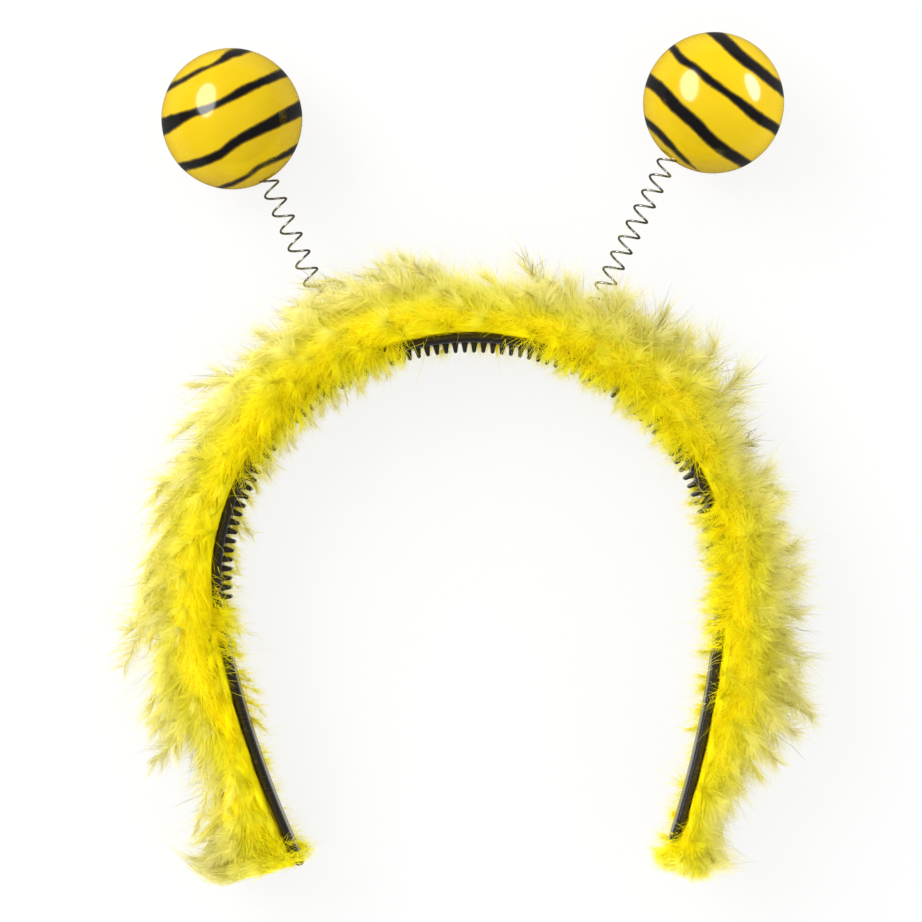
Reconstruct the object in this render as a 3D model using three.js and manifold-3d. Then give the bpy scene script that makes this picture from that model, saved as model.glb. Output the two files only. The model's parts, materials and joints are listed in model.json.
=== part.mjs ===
// Bee antenna headband: a black moulded comb band with a yellow down boa along
// its outer face, and two balls that bob on bare coil springs.
// Millimetres. It lies flat as it does on a table: X runs across the band, Y from
// the tips towards the crown, and Z up from the table.
import * as THREE from "three";
import { mergeVertices } from "three/addons/utils/BufferGeometryUtils.js";
import Module from "manifold-3d";

const wasm = await Module();
wasm.setup();

// Head band: three arcs a side, measured along the middle of its wall
const crownRadius = 69.5;
const crownSweep = 49;
const sideRadius = 63.7;
const sideSweep = 49.3;
const legRadius = 283;
const legLength = 66.5;
const bandThickness = 2.4;
const bandWidth = 10;
const bandChamfer = 0.6;
const bandTipLength = 6;
const bandStation = 7;

// Comb teeth on the inner face
const toothPitch = 2.62;
const toothedLength = 211;
const toothLength = 2.6;
const toothRoot = 1.75;
const toothTip = 0.8;
const toothSpan = 7;
const toothSink = 0.3;

// Coil springs, and the pegs that hold them on the band
const wireDiameter = 0.62;
const coilDiameter = 5.0;
const closedPitch = 1.05;
const footTurns = 2;
const headTurns = 1.25;
const coilPhase = -0.22;
const wireSides = 5;
const stepsPerTurn = 9;
const pegHeight = 5;
const pegClearance = 0.35;
const pegSink = 1;
const springGap = 0.3;
const leftSpringLength = 54.5;
const rightSpringLength = 59.3;

// Balls
const ballDiameter = 38;
const ballAround = 24;
const ballDown = 14;
const socketDepth = 7;
const socketClearance = 0.4;
const leftBallShift = 2.1;
const rightBallShift = 4.0;

// Each antenna's place on the band (a share of the crown's arc), its lean, its
// length from band to ball, and how far the ball sits to the outside of its line
const antennas = [
  {
    name: "left",
    side: -1,
    place: 0.49,
    lean: 20.4,
    springLength: leftSpringLength,
    openTurns: 11,
    ballShift: leftBallShift,
  },
  {
    name: "right",
    side: 1,
    place: 0.53,
    lean: 30.3,
    springLength: rightSpringLength,
    openTurns: 13.25,
    ballShift: rightBallShift,
  },
];

// Down boa
const boaReach = 31;
const boaDepth = 21.5;
const boaOverhang = 4.5;
const boaSeatGap = 0.3;
const boaChannelGap = 0.9;
const coreShare = 0.64;
const coreSides = 9;
const lockPitch = 20;
const lockFan = 60;
const lockWidth = 19;
const lockThickness = 11;
const lockTip = 0.12;
const lockUneven = 0.03;
const wispWidth = 9;
const wispThickness = 3;

// Outline of the boa from the left tip (along -1) to the right tip (along 1):
// reach outwards, reach inside the band, and the drift of its tips along the
// band, as shares of boaReach. A drift below 0 runs towards the left tip.
const boaRows = [
  { along: -1.0, reach: 0.82, inside: 0.1, drift: -0.1 },
  { along: -0.92, reach: 0.98, inside: 0.08, drift: -0.2 },
  { along: -0.82, reach: 0.68, inside: 0, drift: -0.5 },
  { along: -0.71, reach: 0.99, inside: 0.22, drift: -0.45 },
  { along: -0.6, reach: 1.0, inside: 0.3, drift: -0.35 },
  { along: -0.5, reach: 0.8, inside: 0.27, drift: -0.25 },
  { along: -0.4, reach: 0.77, inside: 0.36, drift: -0.3 },
  { along: -0.28, reach: 0.88, inside: 0.36, drift: -0.3 },
  { along: -0.16, reach: 0.88, inside: 0.38, drift: -0.3 },
  { along: -0.06, reach: 0.9, inside: 0.12, drift: -0.25 },
  { along: 0.06, reach: 0.76, inside: 0, drift: -0.2 },
  { along: 0.16, reach: 0.78, inside: 0.1, drift: -0.05 },
  { along: 0.3, reach: 0.97, inside: 0.28, drift: 0.1 },
  { along: 0.42, reach: 0.72, inside: 0.16, drift: 0.2 },
  { along: 0.5, reach: 0.78, inside: 0.32, drift: 0.25 },
  { along: 0.61, reach: 0.8, inside: 0.22, drift: 0.25 },
  { along: 0.74, reach: 1.05, inside: 0.2, drift: 0.3 },
  { along: 0.83, reach: 0.8, inside: 0, drift: 0.4 },
  { along: 0.91, reach: 0.46, inside: 0, drift: 0.3 },
  { along: 1.0, reach: 0.58, inside: 0.18, drift: 0.2 },
];

const radians = THREE.MathUtils.degToRad;
const up = new THREE.Vector3(0, 0, 1);
const bandArcs = [
  { radius: crownRadius, length: crownRadius * radians(crownSweep) },
  { radius: sideRadius, length: sideRadius * radians(sideSweep) },
  { radius: legRadius, length: legLength },
];
const bandHalf = bandArcs.reduce((sum, arc) => sum + arc.length, 0);
const boaHalf = bandHalf + boaOverhang;
const faceOut = bandThickness / 2;
const coilRadius = coilDiameter / 2;
const wireRadius = wireDiameter / 2;
const ballRadius = ballDiameter / 2;

// The place at a signed distance along the band from its crown: a point on the
// middle of the wall, the outward direction, and the direction of travel.
function bandPlace(along) {
  const side = along < 0 ? -1 : 1;
  let left = Math.abs(along);
  let turn = 0;
  let x = 0;
  let y = crownRadius;
  bandArcs.forEach((arc, i) => {
    const run = i === bandArcs.length - 1 ? left : Math.min(left, arc.length);
    const centreX = x - arc.radius * Math.sin(turn);
    const centreY = y - arc.radius * Math.cos(turn);
    turn += run / arc.radius;
    x = centreX + arc.radius * Math.sin(turn);
    y = centreY + arc.radius * Math.cos(turn);
    left -= run;
  });
  return {
    point: new THREE.Vector3(side * x, y, 0),
    out: new THREE.Vector3(side * Math.sin(turn), Math.cos(turn), 0),
    run: new THREE.Vector3(Math.cos(turn), -side * Math.sin(turn), 0),
  };
}

// A point at a distance outwards and upwards from a place on the band
function offset(place, out, rise) {
  return place.point.clone().addScaledVector(place.out, out).addScaledVector(up, rise);
}

// Evenly spaced values from one end to the other, both included
function spaced(from, to, step) {
  const count = Math.max(2, Math.round((to - from) / step));
  return Array.from({ length: count + 1 }, (_, i) => from + ((to - from) * i) / count);
}

// A closed surface through rings with the same number of points
function loft(rings) {
  const count = rings[0].length;
  const last = (rings.length - 1) * count;
  const index = [];
  for (let i = 0; i + 1 < rings.length; i++)
    for (let j = 0; j < count; j++) {
      const a = i * count + j;
      const b = i * count + ((j + 1) % count);
      index.push(a, b, b + count, a, b + count, a + count);
    }
  for (let j = 1; j + 1 < count; j++) {
    index.push(0, j + 1, j);
    index.push(last, last + j, last + j + 1);
  }
  return new THREE.BufferGeometry().setFromPoints(rings.flat()).setIndex(index);
}

// A geometry as a solid that can be joined and cut
function solidOf(geometry) {
  const bare = geometry.clone();
  bare.deleteAttribute("normal");
  bare.deleteAttribute("uv");
  const merged = mergeVertices(bare, 1e-4);
  return new wasm.Manifold(
    new wasm.Mesh({
      numProp: 3,
      vertProperties: new Float32Array(merged.attributes.position.array),
      triVerts: new Uint32Array(merged.index.array),
    }),
  );
}

function joined(solids) {
  return solids.reduce((all, solid) => all.add(solid));
}

// A solid as a mesh with its own material
function meshOf(name, solid, material) {
  const mesh = solid.getMesh();
  const geometry = new THREE.BufferGeometry();
  geometry.setAttribute("position", new THREE.BufferAttribute(mesh.vertProperties, mesh.numProp));
  geometry.setIndex(new THREE.BufferAttribute(mesh.triVerts, 1));
  geometry.computeVertexNormals();
  const made = new THREE.Mesh(geometry, material);
  made.name = name;
  return made;
}

// A round rod from one point to another
function rod(from, to, radius, sides) {
  const line = to.clone().sub(from);
  const geometry = new THREE.CylinderGeometry(radius, radius, line.length(), sides);
  const turn = new THREE.Quaternion().setFromUnitVectors(new THREE.Vector3(0, 1, 0), line.normalize());
  geometry.applyQuaternion(turn);
  const middle = from.clone().add(to).multiplyScalar(0.5);
  return geometry.translate(middle.x, middle.y, middle.z);
}

// The band's section, grown by a gap, at a share of its full width
function bandSection(place, inner, outer, halfWidth, chamfer) {
  return [
    [outer, -halfWidth + chamfer],
    [outer, halfWidth - chamfer],
    [outer - chamfer, halfWidth],
    [inner + chamfer, halfWidth],
    [inner, halfWidth - chamfer],
    [inner, -halfWidth + chamfer],
    [inner + chamfer, -halfWidth],
    [outer - chamfer, -halfWidth],
  ].map(([out, rise]) => offset(place, out, rise));
}

function bandBar() {
  const straight = spaced(-bandHalf + bandTipLength, bandHalf - bandTipLength, bandStation);
  const tipShares = [0.4, 0.75, 0.95, 1];
  const stations = [
    ...tipShares.map((share) => -bandHalf + bandTipLength * (1 - share)).reverse(),
    ...straight,
    ...tipShares.map((share) => bandHalf - bandTipLength * (1 - share)),
  ];
  return loft(
    stations.map((along) => {
      const past = Math.max(0, Math.abs(along) - (bandHalf - bandTipLength)) / bandTipLength;
      const width = Math.sqrt(1 - 0.93 * past * past);
      return bandSection(bandPlace(along), -faceOut, faceOut, (bandWidth / 2) * width, bandChamfer);
    }),
  );
}

function tooth(along) {
  const place = bandPlace(along);
  const shape = [
    { depth: -toothSink, length: toothRoot, span: toothSpan },
    { depth: toothLength, length: toothTip, span: toothSpan * 0.84 },
  ];
  const corners = [
    [-1, -1],
    [1, -1],
    [1, 1],
    [-1, 1],
  ];
  return loft(
    shape.map(({ depth, length, span }) =>
      corners.map(([run, rise]) =>
        offset(place, -faceOut - depth, (rise * span) / 2).addScaledVector(place.run, (run * length) / 2),
      ),
    ),
  );
}

// The foot of a spring on the band's outer face, and the line that it follows
function springLine(antenna) {
  const place = bandPlace(antenna.side * antenna.place * bandArcs[0].length);
  const foot = offset(place, faceOut, 0);
  const lean = radians(antenna.lean);
  const line = new THREE.Vector3(antenna.side * Math.sin(lean), Math.cos(lean), 0);
  const across = new THREE.Vector3(antenna.side * Math.cos(lean), -Math.sin(lean), 0);
  return { foot, line, across };
}

function peg(antenna) {
  const { foot, line } = springLine(antenna);
  const radius = coilRadius - wireRadius - pegClearance;
  return rod(
    foot.clone().addScaledVector(line, -pegSink),
    foot.clone().addScaledVector(line, pegHeight),
    radius,
    10,
  );
}

function bandSolid() {
  const count = Math.floor(toothedLength / toothPitch / 2);
  const teeth = spaced(-count, count, 1).map((k) => solidOf(tooth(k * toothPitch)));
  return joined([solidOf(bandBar()), ...teeth, ...antennas.map((antenna) => solidOf(peg(antenna)))]);
}

// The centre line of a spring's wire: closed coils round the peg, open coils, and
// closed coils in the ball's socket. Both springs are wound the same way, so the
// right one isn't the mirror image of the left
class WireLine extends THREE.Curve {
  constructor(antenna) {
    super();
    Object.assign(this, springLine(antenna));
    this.turns = footTurns + antenna.openTurns + headTurns;
    this.openTurns = antenna.openTurns;
    this.hand = -antenna.side;
    this.start = springGap + wireRadius;
    const end = antenna.springLength + socketDepth - springGap - wireRadius;
    const closed = (footTurns + headTurns) * closedPitch;
    this.openPitch = (end - this.start - closed) / antenna.openTurns;
    this.arcLengthDivisions = 4000;
  }
  getPoint(t, target = new THREE.Vector3()) {
    const turned = t * this.turns;
    const open = THREE.MathUtils.clamp(turned - footTurns, 0, this.openTurns);
    const height = this.start + (turned - open) * closedPitch + open * this.openPitch;
    const angle = (turned + coilPhase) * Math.PI * 2;
    return target
      .copy(this.foot)
      .addScaledVector(this.line, height)
      .addScaledVector(this.across, coilRadius * Math.cos(angle))
      .addScaledVector(up, this.hand * coilRadius * Math.sin(angle));
  }
}

function springSolid(antenna) {
  const wire = new WireLine(antenna);
  const section = new THREE.Shape(
    Array.from({ length: wireSides }, (_, i) => {
      const angle = (i / wireSides) * Math.PI * 2;
      return new THREE.Vector2(wireRadius * Math.cos(angle), wireRadius * Math.sin(angle));
    }),
  );
  const steps = Math.round(wire.turns * stepsPerTurn);
  return solidOf(new THREE.ExtrudeGeometry(section, { steps, extrudePath: wire, bevelEnabled: false }));
}

function ballCentre(antenna) {
  const { foot, line, across } = springLine(antenna);
  const rise = Math.sqrt(ballRadius ** 2 - antenna.ballShift ** 2);
  return foot
    .clone()
    .addScaledVector(line, antenna.springLength + rise)
    .addScaledVector(across, antenna.ballShift);
}

function ballSolid(antenna) {
  const { foot, line } = springLine(antenna);
  const centre = ballCentre(antenna);
  const ball = new THREE.SphereGeometry(ballRadius, ballAround, ballDown);
  ball.rotateX(Math.PI / 2).translate(centre.x, centre.y, centre.z);
  const socket = rod(
    foot.clone().addScaledVector(line, antenna.springLength - ballRadius),
    foot.clone().addScaledVector(line, antenna.springLength + socketDepth),
    coilRadius + wireRadius + socketClearance,
    12,
  );
  return solidOf(ball).subtract(solidOf(socket));
}

// The boa's outline at a share of its half length, between the rows of its table
function boaRow(share) {
  const after = Math.max(1, boaRows.findIndex((row) => row.along >= share));
  const [a, b] = [boaRows[after - 1], boaRows[after]];
  const t = THREE.MathUtils.clamp((share - a.along) / (b.along - a.along), 0, 1);
  const between = (key) => boaReach * THREE.MathUtils.lerp(a[key], b[key], t);
  return { reach: between("reach"), inside: between("inside"), drift: between("drift") };
}

// The boa's backing: a soft rope that the down stands out from
function boaCore() {
  return loft(
    spaced(-boaHalf, boaHalf, 2 * bandStation).map((along) => {
      const { reach } = boaRow(along / boaHalf);
      const place = bandPlace(along);
      const fade = Math.sqrt(1.15 - (along / boaHalf) ** 12);
      const halfOut = (reach * coreShare) / 2;
      const halfRise = boaDepth * coreShare * fade;
      return Array.from({ length: coreSides }, (_, i) => {
        const angle = (i / coreSides) * Math.PI * 2;
        return offset(place, faceOut + halfOut * (1 + fade * Math.cos(angle)), halfRise * Math.sin(angle));
      });
    }),
  );
}

// One pointed lock of down on a bent line, wide along the band
function lock(start, bend, tip, side, width, thickness) {
  const line = new THREE.QuadraticBezierCurve3(start, bend, tip);
  const shape = [
    { at: 0, size: 0.9 },
    { at: 0.55, size: 1 },
    { at: 1, size: lockTip },
  ];
  return loft(
    shape.map(({ at, size }) => {
      const centre = line.getPoint(at);
      const heading = line.getTangent(at);
      const wide = side.clone().addScaledVector(heading, -side.dot(heading)).normalize();
      const deep = heading.clone().cross(wide);
      return [0, 1, 2, 3].map((corner) =>
        centre
          .clone()
          .addScaledVector(wide, (width / 2) * size * Math.cos((corner * Math.PI) / 2))
          .addScaledVector(deep, (thickness / 2) * size * Math.sin((corner * Math.PI) / 2)),
      );
    }),
  );
}

// The locks that fan out round the backing at one place, each row turned half a
// step from the last
function fanLocks(along, row) {
  const place = bandPlace(along);
  const { reach, drift } = boaRow(along / boaHalf);
  const root = faceOut + (reach * coreShare) / 2;
  const turns = row % 2 ? [-1, 0, 1] : [-1.5, -0.5, 0.5, 1.5];
  return turns.map((turn, i) => {
    const angle = radians(turn * lockFan);
    const size = 1 - lockUneven * ((i * 3 + row) % 4);
    const out = (reach - root) * Math.sqrt(Math.max(0, Math.cos(angle))) * size;
    const rise = boaDepth * Math.sin(angle) * size;
    const start = offset(place, root, 0);
    const bend = offset(place, root + out * 0.6, rise * 0.6).addScaledVector(place.run, drift * 0.2);
    const tip = offset(place, root + out, rise).addScaledVector(place.run, drift * size);
    return lock(start, bend, tip, place.run, lockWidth, lockThickness);
  });
}

// The wisps that lie over both edges of the band and reach inside it
function wispLocks(along) {
  const place = bandPlace(along);
  const { reach, inside, drift } = boaRow(along / boaHalf);
  if (inside < bandThickness) return [];
  const root = faceOut + (reach * coreShare) / 2;
  const edge = bandWidth / 2 + wispThickness;
  return [-1, 1].map((face) =>
    lock(
      offset(place, root, (face * edge) / 2),
      offset(place, faceOut, face * (edge + wispThickness * 2)),
      offset(place, -faceOut - inside, face * edge).addScaledVector(place.run, drift * 0.5),
      place.run,
      wispWidth,
      wispThickness,
    ),
  );
}

// The space that the boa leaves for the band, its teeth and the springs
function boaRelief() {
  const end = bandHalf + boaSeatGap;
  const inner = -faceOut - toothLength - boaSeatGap;
  const outer = faceOut + boaSeatGap;
  const halfWidth = bandWidth / 2 + boaSeatGap;
  const channels = antennas.map((antenna) => {
    const { foot, line } = springLine(antenna);
    return rod(
      foot.clone().addScaledVector(line, -bandThickness),
      foot.clone().addScaledVector(line, antenna.springLength),
      coilRadius + wireRadius + boaChannelGap,
      10,
    );
  });
  const bandSpace = loft(
    spaced(-end, end, bandStation).map((along) =>
      bandSection(bandPlace(along), inner, outer, halfWidth, bandChamfer / 2),
    ),
  );
  return joined([bandSpace, ...channels].map(solidOf));
}

function boaSolid() {
  const rows = spaced(-boaHalf + boaOverhang, boaHalf - boaOverhang, lockPitch);
  const locks = rows.flatMap((along, row) => [...fanLocks(along, row), ...(row % 2 ? wispLocks(along) : [])]);
  const body = joined([boaCore(), ...locks].map(solidOf));
  const slab = new THREE.BoxGeometry(8 * boaHalf, 8 * boaHalf, boaDepth * 2);
  const table = slab.translate(0, 0, -ballRadius - boaDepth);
  return body.subtract(boaRelief()).subtract(solidOf(table));
}

const materials = {
  band: new THREE.MeshStandardMaterial({ color: 0x1a1817, roughness: 0.35, metalness: 0 }),
  down: new THREE.MeshStandardMaterial({ color: 0xf2dc14, roughness: 0.9, metalness: 0 }),
  spring: new THREE.MeshStandardMaterial({ color: 0x8c8c86, roughness: 0.25, metalness: 1 }),
  ball: new THREE.MeshStandardMaterial({ color: 0xf7d500, roughness: 0.12, metalness: 0 }),
};

const headband = new THREE.Group();
headband.add(meshOf("band", bandSolid(), materials.band));
headband.add(meshOf("boa", boaSolid(), materials.down));
antennas.forEach((antenna) => {
  headband.add(meshOf("spring_" + antenna.name, springSolid(antenna), materials.spring));
  headband.add(meshOf("ball_" + antenna.name, ballSolid(antenna), materials.ball));
});

// The origin is under the middle of the whole part, on the table.
const reach = new THREE.Box3().setFromObject(headband);
const middle = reach.getCenter(new THREE.Vector3());
headband.position.set(-middle.x, -middle.y, -reach.min.z);

export default headband;
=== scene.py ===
import json
import math
import bpy
import numpy as np
from mathutils import Matrix, Quaternion, Vector

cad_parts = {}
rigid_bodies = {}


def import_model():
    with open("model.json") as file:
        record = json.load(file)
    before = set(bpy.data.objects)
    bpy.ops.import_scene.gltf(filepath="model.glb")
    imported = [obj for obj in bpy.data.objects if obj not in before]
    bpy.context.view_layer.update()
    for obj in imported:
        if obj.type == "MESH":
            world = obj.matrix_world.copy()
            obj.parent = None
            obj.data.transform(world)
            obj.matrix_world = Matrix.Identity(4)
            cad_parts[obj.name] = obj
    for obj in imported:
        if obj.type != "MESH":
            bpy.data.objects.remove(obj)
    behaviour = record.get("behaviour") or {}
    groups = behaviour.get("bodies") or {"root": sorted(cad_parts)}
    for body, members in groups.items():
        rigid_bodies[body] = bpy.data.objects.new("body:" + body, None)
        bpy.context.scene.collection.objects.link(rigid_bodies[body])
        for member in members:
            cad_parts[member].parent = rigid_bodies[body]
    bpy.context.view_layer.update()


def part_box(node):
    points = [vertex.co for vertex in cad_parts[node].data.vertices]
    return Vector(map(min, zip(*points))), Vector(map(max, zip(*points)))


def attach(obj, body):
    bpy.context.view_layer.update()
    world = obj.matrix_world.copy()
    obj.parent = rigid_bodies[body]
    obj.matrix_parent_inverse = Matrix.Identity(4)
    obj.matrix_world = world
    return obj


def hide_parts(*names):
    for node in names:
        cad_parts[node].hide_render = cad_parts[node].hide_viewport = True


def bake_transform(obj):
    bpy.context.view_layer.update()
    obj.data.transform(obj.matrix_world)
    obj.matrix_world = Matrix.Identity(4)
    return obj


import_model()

print("frame loaded")

mm = 0.001

# The band's path: three arcs a side (radius, length), from the crown along the middle of its wall
bandPath = {
    "arcs": [(69.5, 69.5 * math.radians(49)), (63.7, 63.7 * math.radians(49.3)), (283, 66.5)],
    "wall": 2.4,
    "width": 10,
}
bandHalf = sum(length for radius, length in bandPath["arcs"])
faceOut = bandPath["wall"] / 2

# The band is symmetric and its crown is its highest point, so its box places the path in the frame
bandLow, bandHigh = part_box("band")
origin = np.array([
    (bandLow[0] + bandHigh[0]) / 2 / mm,
    bandHigh[1] / mm - bandPath["arcs"][0][0] - faceOut,
    (bandLow[2] + bandHigh[2]) / 2 / mm,
])


# point, outward direction and direction of travel in the arch's plane, for an array of distances
def bandPlace(along):
    side = np.where(along < 0, -1.0, 1.0)
    left = np.abs(along)
    turn = np.zeros_like(left)
    x = np.zeros_like(left)
    y = np.full_like(left, bandPath["arcs"][0][0])
    for i, (radius, length) in enumerate(bandPath["arcs"]):
        run = left if i == 2 else np.minimum(left, length)
        centreX = x - radius * np.sin(turn)
        centreY = y - radius * np.cos(turn)
        turn = turn + run / radius
        x = centreX + radius * np.sin(turn)
        y = centreY + radius * np.cos(turn)
        left = left - run
    point = np.stack([side * x, y], -1)
    out = np.stack([side * np.sin(turn), np.cos(turn)], -1)
    travel = np.stack([np.cos(turn), -side * np.sin(turn)], -1)
    return point, out, travel


# band coordinates (along, out, rise) in mm to the frame's metres
def toFrame(places):
    point, out, travel = bandPlace(places[..., 0])
    flat = point + out * places[..., 1:2]
    return (np.concatenate([flat, places[..., 2:3]], -1) + origin) * mm


def smooth(low, high, value):
    t = np.clip((value - low) / (high - low), 0, 1)
    return t * t * (3 - 2 * t)


def unit(vectors):
    return vectors / np.maximum(np.linalg.norm(vectors, axis=-1, keepdims=True), 1e-9)


# a mesh piece from arrays of points and triangles, and of directions to shade the points by
def addMesh(name, points, triangles, material, uv=None, normals=None):
    triangles = np.asarray(triangles, np.int32)
    mesh = bpy.data.meshes.new(name)
    mesh.vertices.add(len(points))
    mesh.vertices.foreach_set("co", np.asarray(points, np.float32).ravel())
    mesh.loops.add(triangles.size)
    mesh.loops.foreach_set("vertex_index", triangles.ravel())
    mesh.polygons.add(len(triangles))
    mesh.polygons.foreach_set("loop_start", np.arange(len(triangles), dtype=np.int32) * 3)
    mesh.polygons.foreach_set("use_smooth", np.ones(len(triangles), bool))
    if uv is not None:
        layer = mesh.uv_layers.new(name="OFBake")
        layer.data.foreach_set("uv", np.asarray(uv, np.float32)[triangles.ravel()].ravel())
    mesh.update(calc_edges=True)
    mesh.validate()
    if normals is not None:
        mesh.normals_split_custom_set_from_vertices(normals)
    mesh.materials.append(material)
    piece = bpy.data.objects.new(name, mesh)
    bpy.context.scene.collection.objects.link(piece)
    return piece


# triangles over equal rings of points, closed round each ring and capped at both ends
def loftTriangles(rings, count, caps=True):
    row = np.arange(rings - 1)[:, None] * count
    a = (row + np.arange(count)).ravel()
    b = (row + (np.arange(count) + 1) % count).ravel()
    parts = [np.stack([a, b, b + count], 1), np.stack([a, b + count, a + count], 1)]
    if caps:
        fan = np.arange(1, count - 1)
        last = (rings - 1) * count
        parts.append(np.stack([np.zeros_like(fan), fan + 1, fan], 1))
        parts.append(np.stack([np.full_like(fan, last), last + fan, last + fan + 1], 1))
    return np.concatenate(parts)


# several closed bodies joined into one set of arrays
def joinBodies(bodies):
    points, triangles, start = [], [], 0
    for bodyPoints, bodyTriangles in bodies:
        points.append(bodyPoints)
        triangles.append(bodyTriangles + start)
        start += len(bodyPoints)
    return np.concatenate(points), np.concatenate(triangles)


view = {
    "centre": (0.63, 3.67, 19),   # what the middle of the picture shows, mm
    "width": 248.9,               # what the picture spans there, mm
    "distance": 950,
    "roll": 3.6,                  # the headband is turned this much in the picture
}
cameraData = bpy.data.cameras.new("camera")
cameraData.sensor_width = 36
cameraData.lens = 36 * view["distance"] / view["width"]
camera = bpy.data.objects.new("camera", cameraData)
camera.location = Vector(view["centre"]) * mm + Vector((0, 0, view["distance"] * mm))
camera.rotation_euler = (0, 0, -math.radians(view["roll"]))
bpy.context.scene.collection.objects.link(camera)
bpy.context.scene.camera = camera

lights = [
    {"name": "key_softbox", "from": (-0.60, 0.455, 0.65), "distance": 1.3, "size": (1.25, 0.72), "turn": 38,
     "power": 12},
    {"name": "side_softbox", "from": (0.89, 0.28, 0.36), "distance": 0.9, "size": (0.56, 0.34), "turn": 0,
     "power": 4},
    {"name": "down_fill", "from": (0.0, -0.1, 1.0), "distance": 1.2, "size": (1.2, 1.2), "turn": 0,
     "power": 4},
]
plate = {"size": 0.36, "height": 0.3, "power": 0.25}   # bright table in the band's gloss alone
lamps = {}
room = {"light": 1.2, "reflected": 0.06}
for spec in lights:
    data = bpy.data.lights.new(spec["name"], "AREA")
    data.shape = "ELLIPSE"
    data.size, data.size_y = spec["size"]
    data.energy = spec["power"]
    lamp = bpy.data.objects.new(spec["name"], data)
    aim = Vector(view["centre"]) * mm + Vector((0, 0.06, 0))
    lamp.location = aim + Vector(spec["from"]).normalized() * spec["distance"]
    turned = Quaternion((0, 0, 1), math.radians(spec["turn"]))
    lamp.rotation_euler = ((aim - lamp.location).to_track_quat("-Z", "Y") @ turned).to_euler()
    bpy.context.scene.collection.objects.link(lamp)
    lamps[spec["name"]] = lamp

plateData = bpy.data.lights.new("light_plate", "AREA")
plateData.size = plate["size"]
plateData.energy = plate["power"]
lamps["light_plate"] = bpy.data.objects.new("light_plate", plateData)
lamps["light_plate"].location = (0, 0, plate["height"] * mm)
lamps["light_plate"].rotation_euler = (math.pi, 0, 0)
bpy.context.scene.collection.objects.link(lamps["light_plate"])

world = bpy.data.worlds.new("studio")
world.use_nodes = True
roomNodes = world.node_tree.nodes
roomLight = roomNodes["Background"]
roomLight.inputs["Color"].default_value = (1, 1, 1, 1)
roomLight.inputs["Strength"].default_value = room["light"]
darkCards = roomNodes.new("ShaderNodeBackground")   # gloss mirrors black cards, not the white room
darkCards.inputs["Strength"].default_value = room["reflected"]
pick = roomNodes.new("ShaderNodeMixShader")
world.node_tree.links.new(roomNodes.new("ShaderNodeLightPath").outputs["Is Glossy Ray"], pick.inputs[0])
world.node_tree.links.new(roomLight.outputs[0], pick.inputs[1])
world.node_tree.links.new(darkCards.outputs[0], pick.inputs[2])
world.node_tree.links.new(pick.outputs[0], roomNodes["World Output"].inputs["Surface"])
bpy.context.scene.world = world
bpy.context.scene.view_settings.view_transform = "Standard"


# a node group of named sockets; returns the group and its two ends
def newGroup(name, inputs, outputs):
    group = bpy.data.node_groups.new(name, "ShaderNodeTree")
    for label, kind, value in inputs:
        socket = group.interface.new_socket(label, in_out="INPUT", socket_type="NodeSocket" + kind)
        if value is not None:
            socket.default_value = value
    for label, kind in outputs:
        group.interface.new_socket(label, in_out="OUTPUT", socket_type="NodeSocket" + kind)
    return group, group.nodes.new("NodeGroupInput"), group.nodes.new("NodeGroupOutput")


# adds a node, sets its fields and its inputs; an input that is a socket is linked
def addNode(tree, kind, inputs=None, **fields):
    node = tree.nodes.new("ShaderNode" + kind)
    for field, value in fields.items():
        setattr(node, field, value)
    for key, value in (inputs or {}).items():
        if isinstance(value, bpy.types.NodeSocket):
            tree.links.new(value, node.inputs[key])
        else:
            node.inputs[key].default_value = value
    return node


def math1(tree, operation, a, b=0.0, c=0.0, clamp=False):
    return addNode(tree, "Math", {0: a, 1: b, 2: c}, operation=operation, use_clamp=clamp).outputs[0]


def ramp(tree, value, stops):
    node = addNode(tree, "ValToRGB", {"Fac": value})
    elements = node.color_ramp.elements
    while len(elements) < len(stops):
        elements.new(0.5)
    for element, (position, color) in zip(elements, stops):
        element.position = position
        element.color = (*color, 1) if len(color) == 3 else color
    return node.outputs["Color"]


# fine wear of a moulded or lacquered surface: dust, hair scratches and a slow unevenness
def surfaceWear():
    group, start, end = newGroup(
        "surface_wear",
        [("Vector", "Vector", None), ("Scale", "Float", 1.0)],
        [("Scratches", "Float"), ("Dust", "Float"), ("Unevenness", "Float")],
    )
    scaled = addNode(group, "VectorMath", {0: start.outputs["Vector"], "Scale": start.outputs["Scale"]},
                     operation="SCALE").outputs[0]
    stretched = addNode(group, "Mapping",
                        {"Vector": scaled, "Rotation": (0.2, 0.4, 0.7), "Scale": (9, 260, 60)})
    hair = addNode(group, "TexNoise", {"Vector": stretched.outputs[0], "Scale": 8, "Detail": 3})
    scratches = addNode(group, "MapRange", {0: hair.outputs["Fac"], 1: 0.62, 2: 0.74})
    specks = addNode(group, "TexNoise", {"Vector": scaled, "Scale": 900, "Detail": 2})
    dust = addNode(group, "MapRange", {0: specks.outputs["Fac"], 1: 0.66, 2: 0.78})
    slow = addNode(group, "TexNoise", {"Vector": scaled, "Scale": 55, "Detail": 2})
    group.links.new(scratches.outputs[0], end.inputs["Scratches"])
    group.links.new(dust.outputs[0], end.inputs["Dust"])
    group.links.new(slow.outputs["Fac"], end.inputs["Unevenness"])
    return group


# how far inside a brushed stroke a point is: above 0 is paint, with a ragged edge
def strokeEdge():
    group, start, end = newGroup(
        "stroke_edge",
        [(name, "Float", 0.0) for name in ("Across", "Centre", "Half Width", "Ragged")],
        [("Inside", "Float")],
    )
    offset = math1(group, "SUBTRACT", start.outputs["Across"], start.outputs["Centre"])
    away = math1(group, "MULTIPLY", math1(group, "ABSOLUTE", offset), 2.0)
    inside = math1(group, "SUBTRACT", start.outputs["Half Width"], away)
    ragged = math1(group, "ADD", inside, start.outputs["Ragged"])
    group.links.new(ragged, end.inputs["Inside"])
    return group


wearGroup = surfaceWear()
strokeGroup = strokeEdge()


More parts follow.
